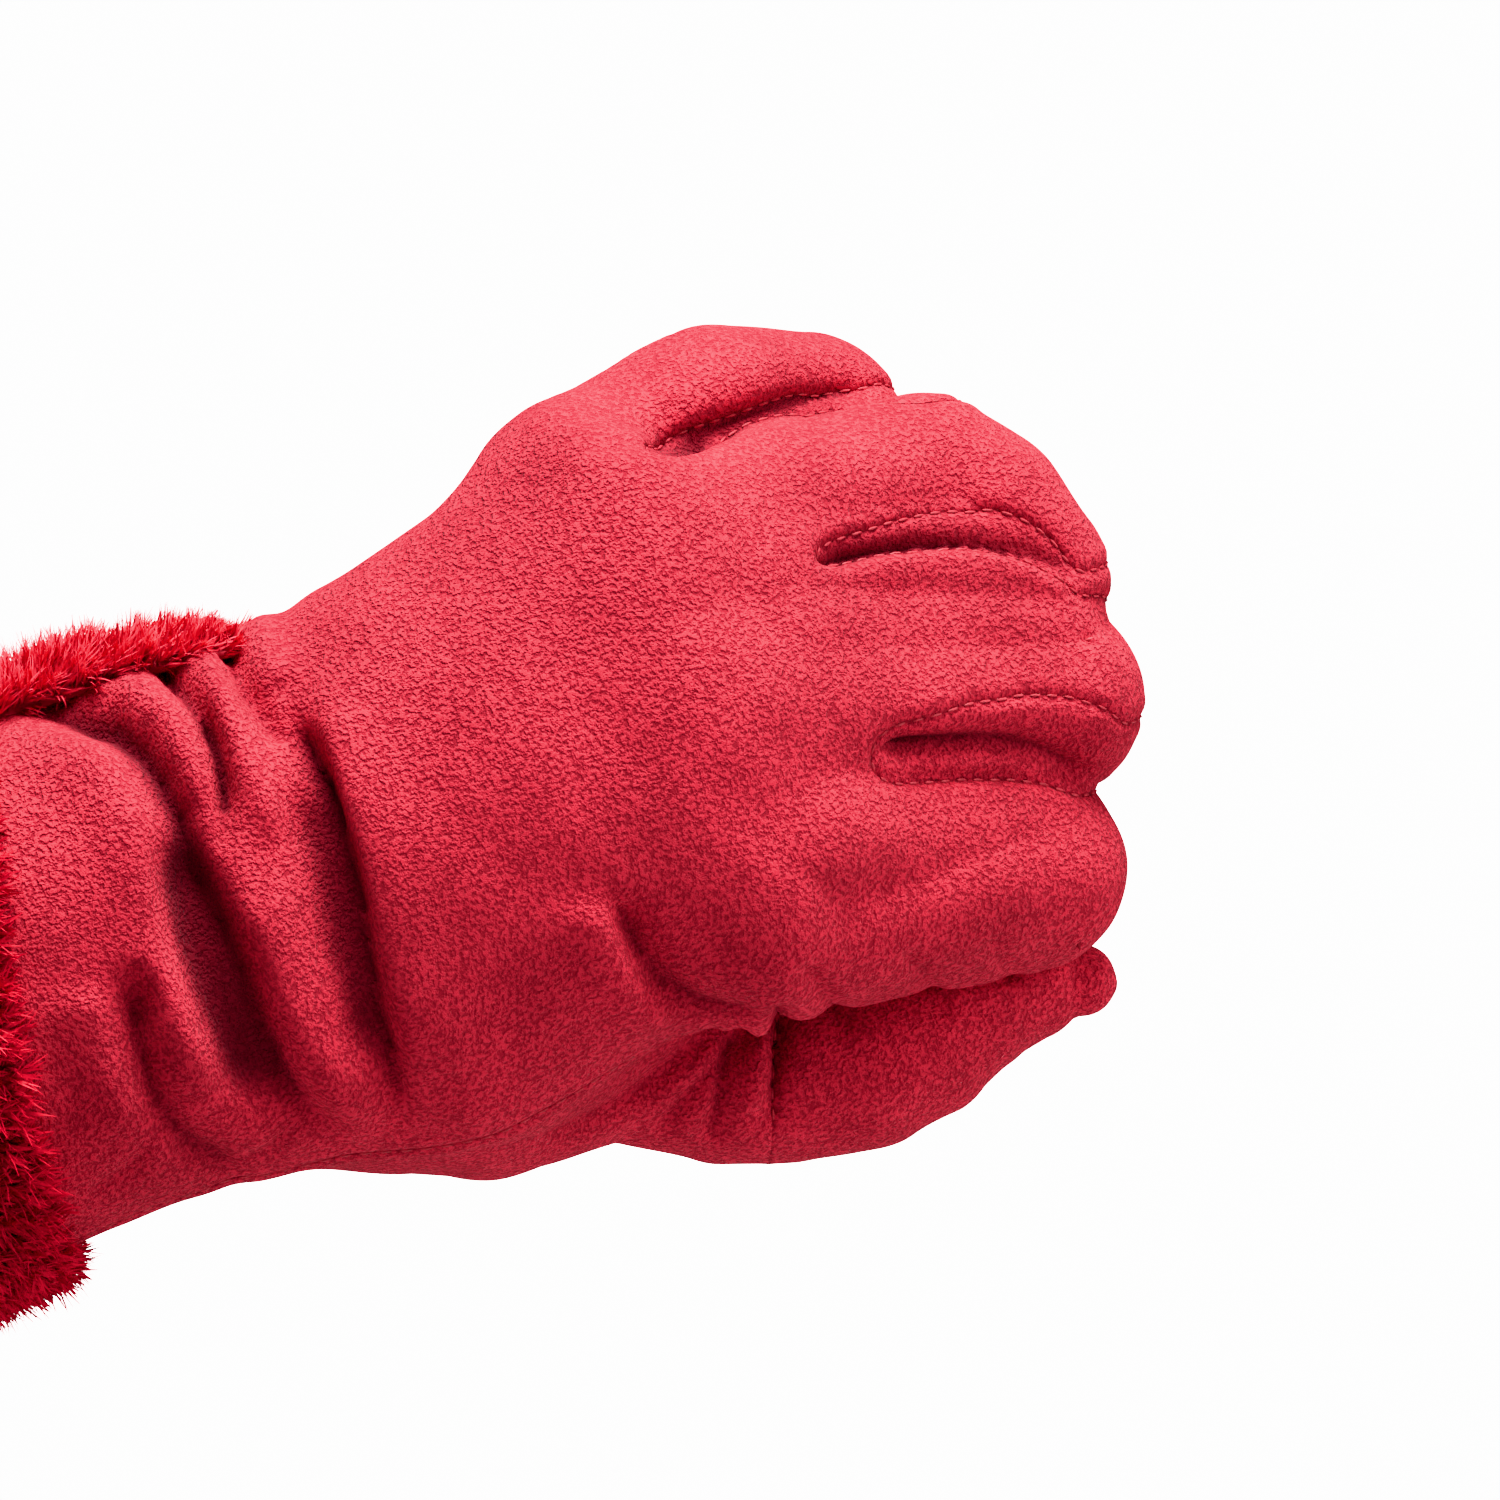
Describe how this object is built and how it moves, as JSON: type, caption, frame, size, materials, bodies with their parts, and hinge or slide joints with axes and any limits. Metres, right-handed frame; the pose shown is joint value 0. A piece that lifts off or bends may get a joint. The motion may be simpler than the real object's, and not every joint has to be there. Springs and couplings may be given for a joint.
{
  "type": "fleece glove",
  "caption": "Left-hand plush-trimmed fleece glove that keeps the form of a loose fist, open at the cuff, with side strips between the fingers.",
  "frame": {"origin": "the middle of the wrist, inside the glove, where the hand goes in", "axes": "+X from the wrist to the knuckles, +Z to the little finger's side, -Y out of the back of the hand"},
  "size_m": [0.1816, 0.0925, 0.1105],
  "materials": {
    "fleece": "matte short-pile fleece",
    "plush": "long soft plush pile"
  },
  "bodies": {
    "root": {"back_panel": "fleece", "palm_panel": "fleece", "thumb_stall": "fleece", "fourchette_little_ring": "fleece", "fourchette_ring_middle": "fleece", "fourchette_middle_index": "fleece", "fur_hem": "plush", "fur_vent": "plush"}
  },
  "joints": []
}
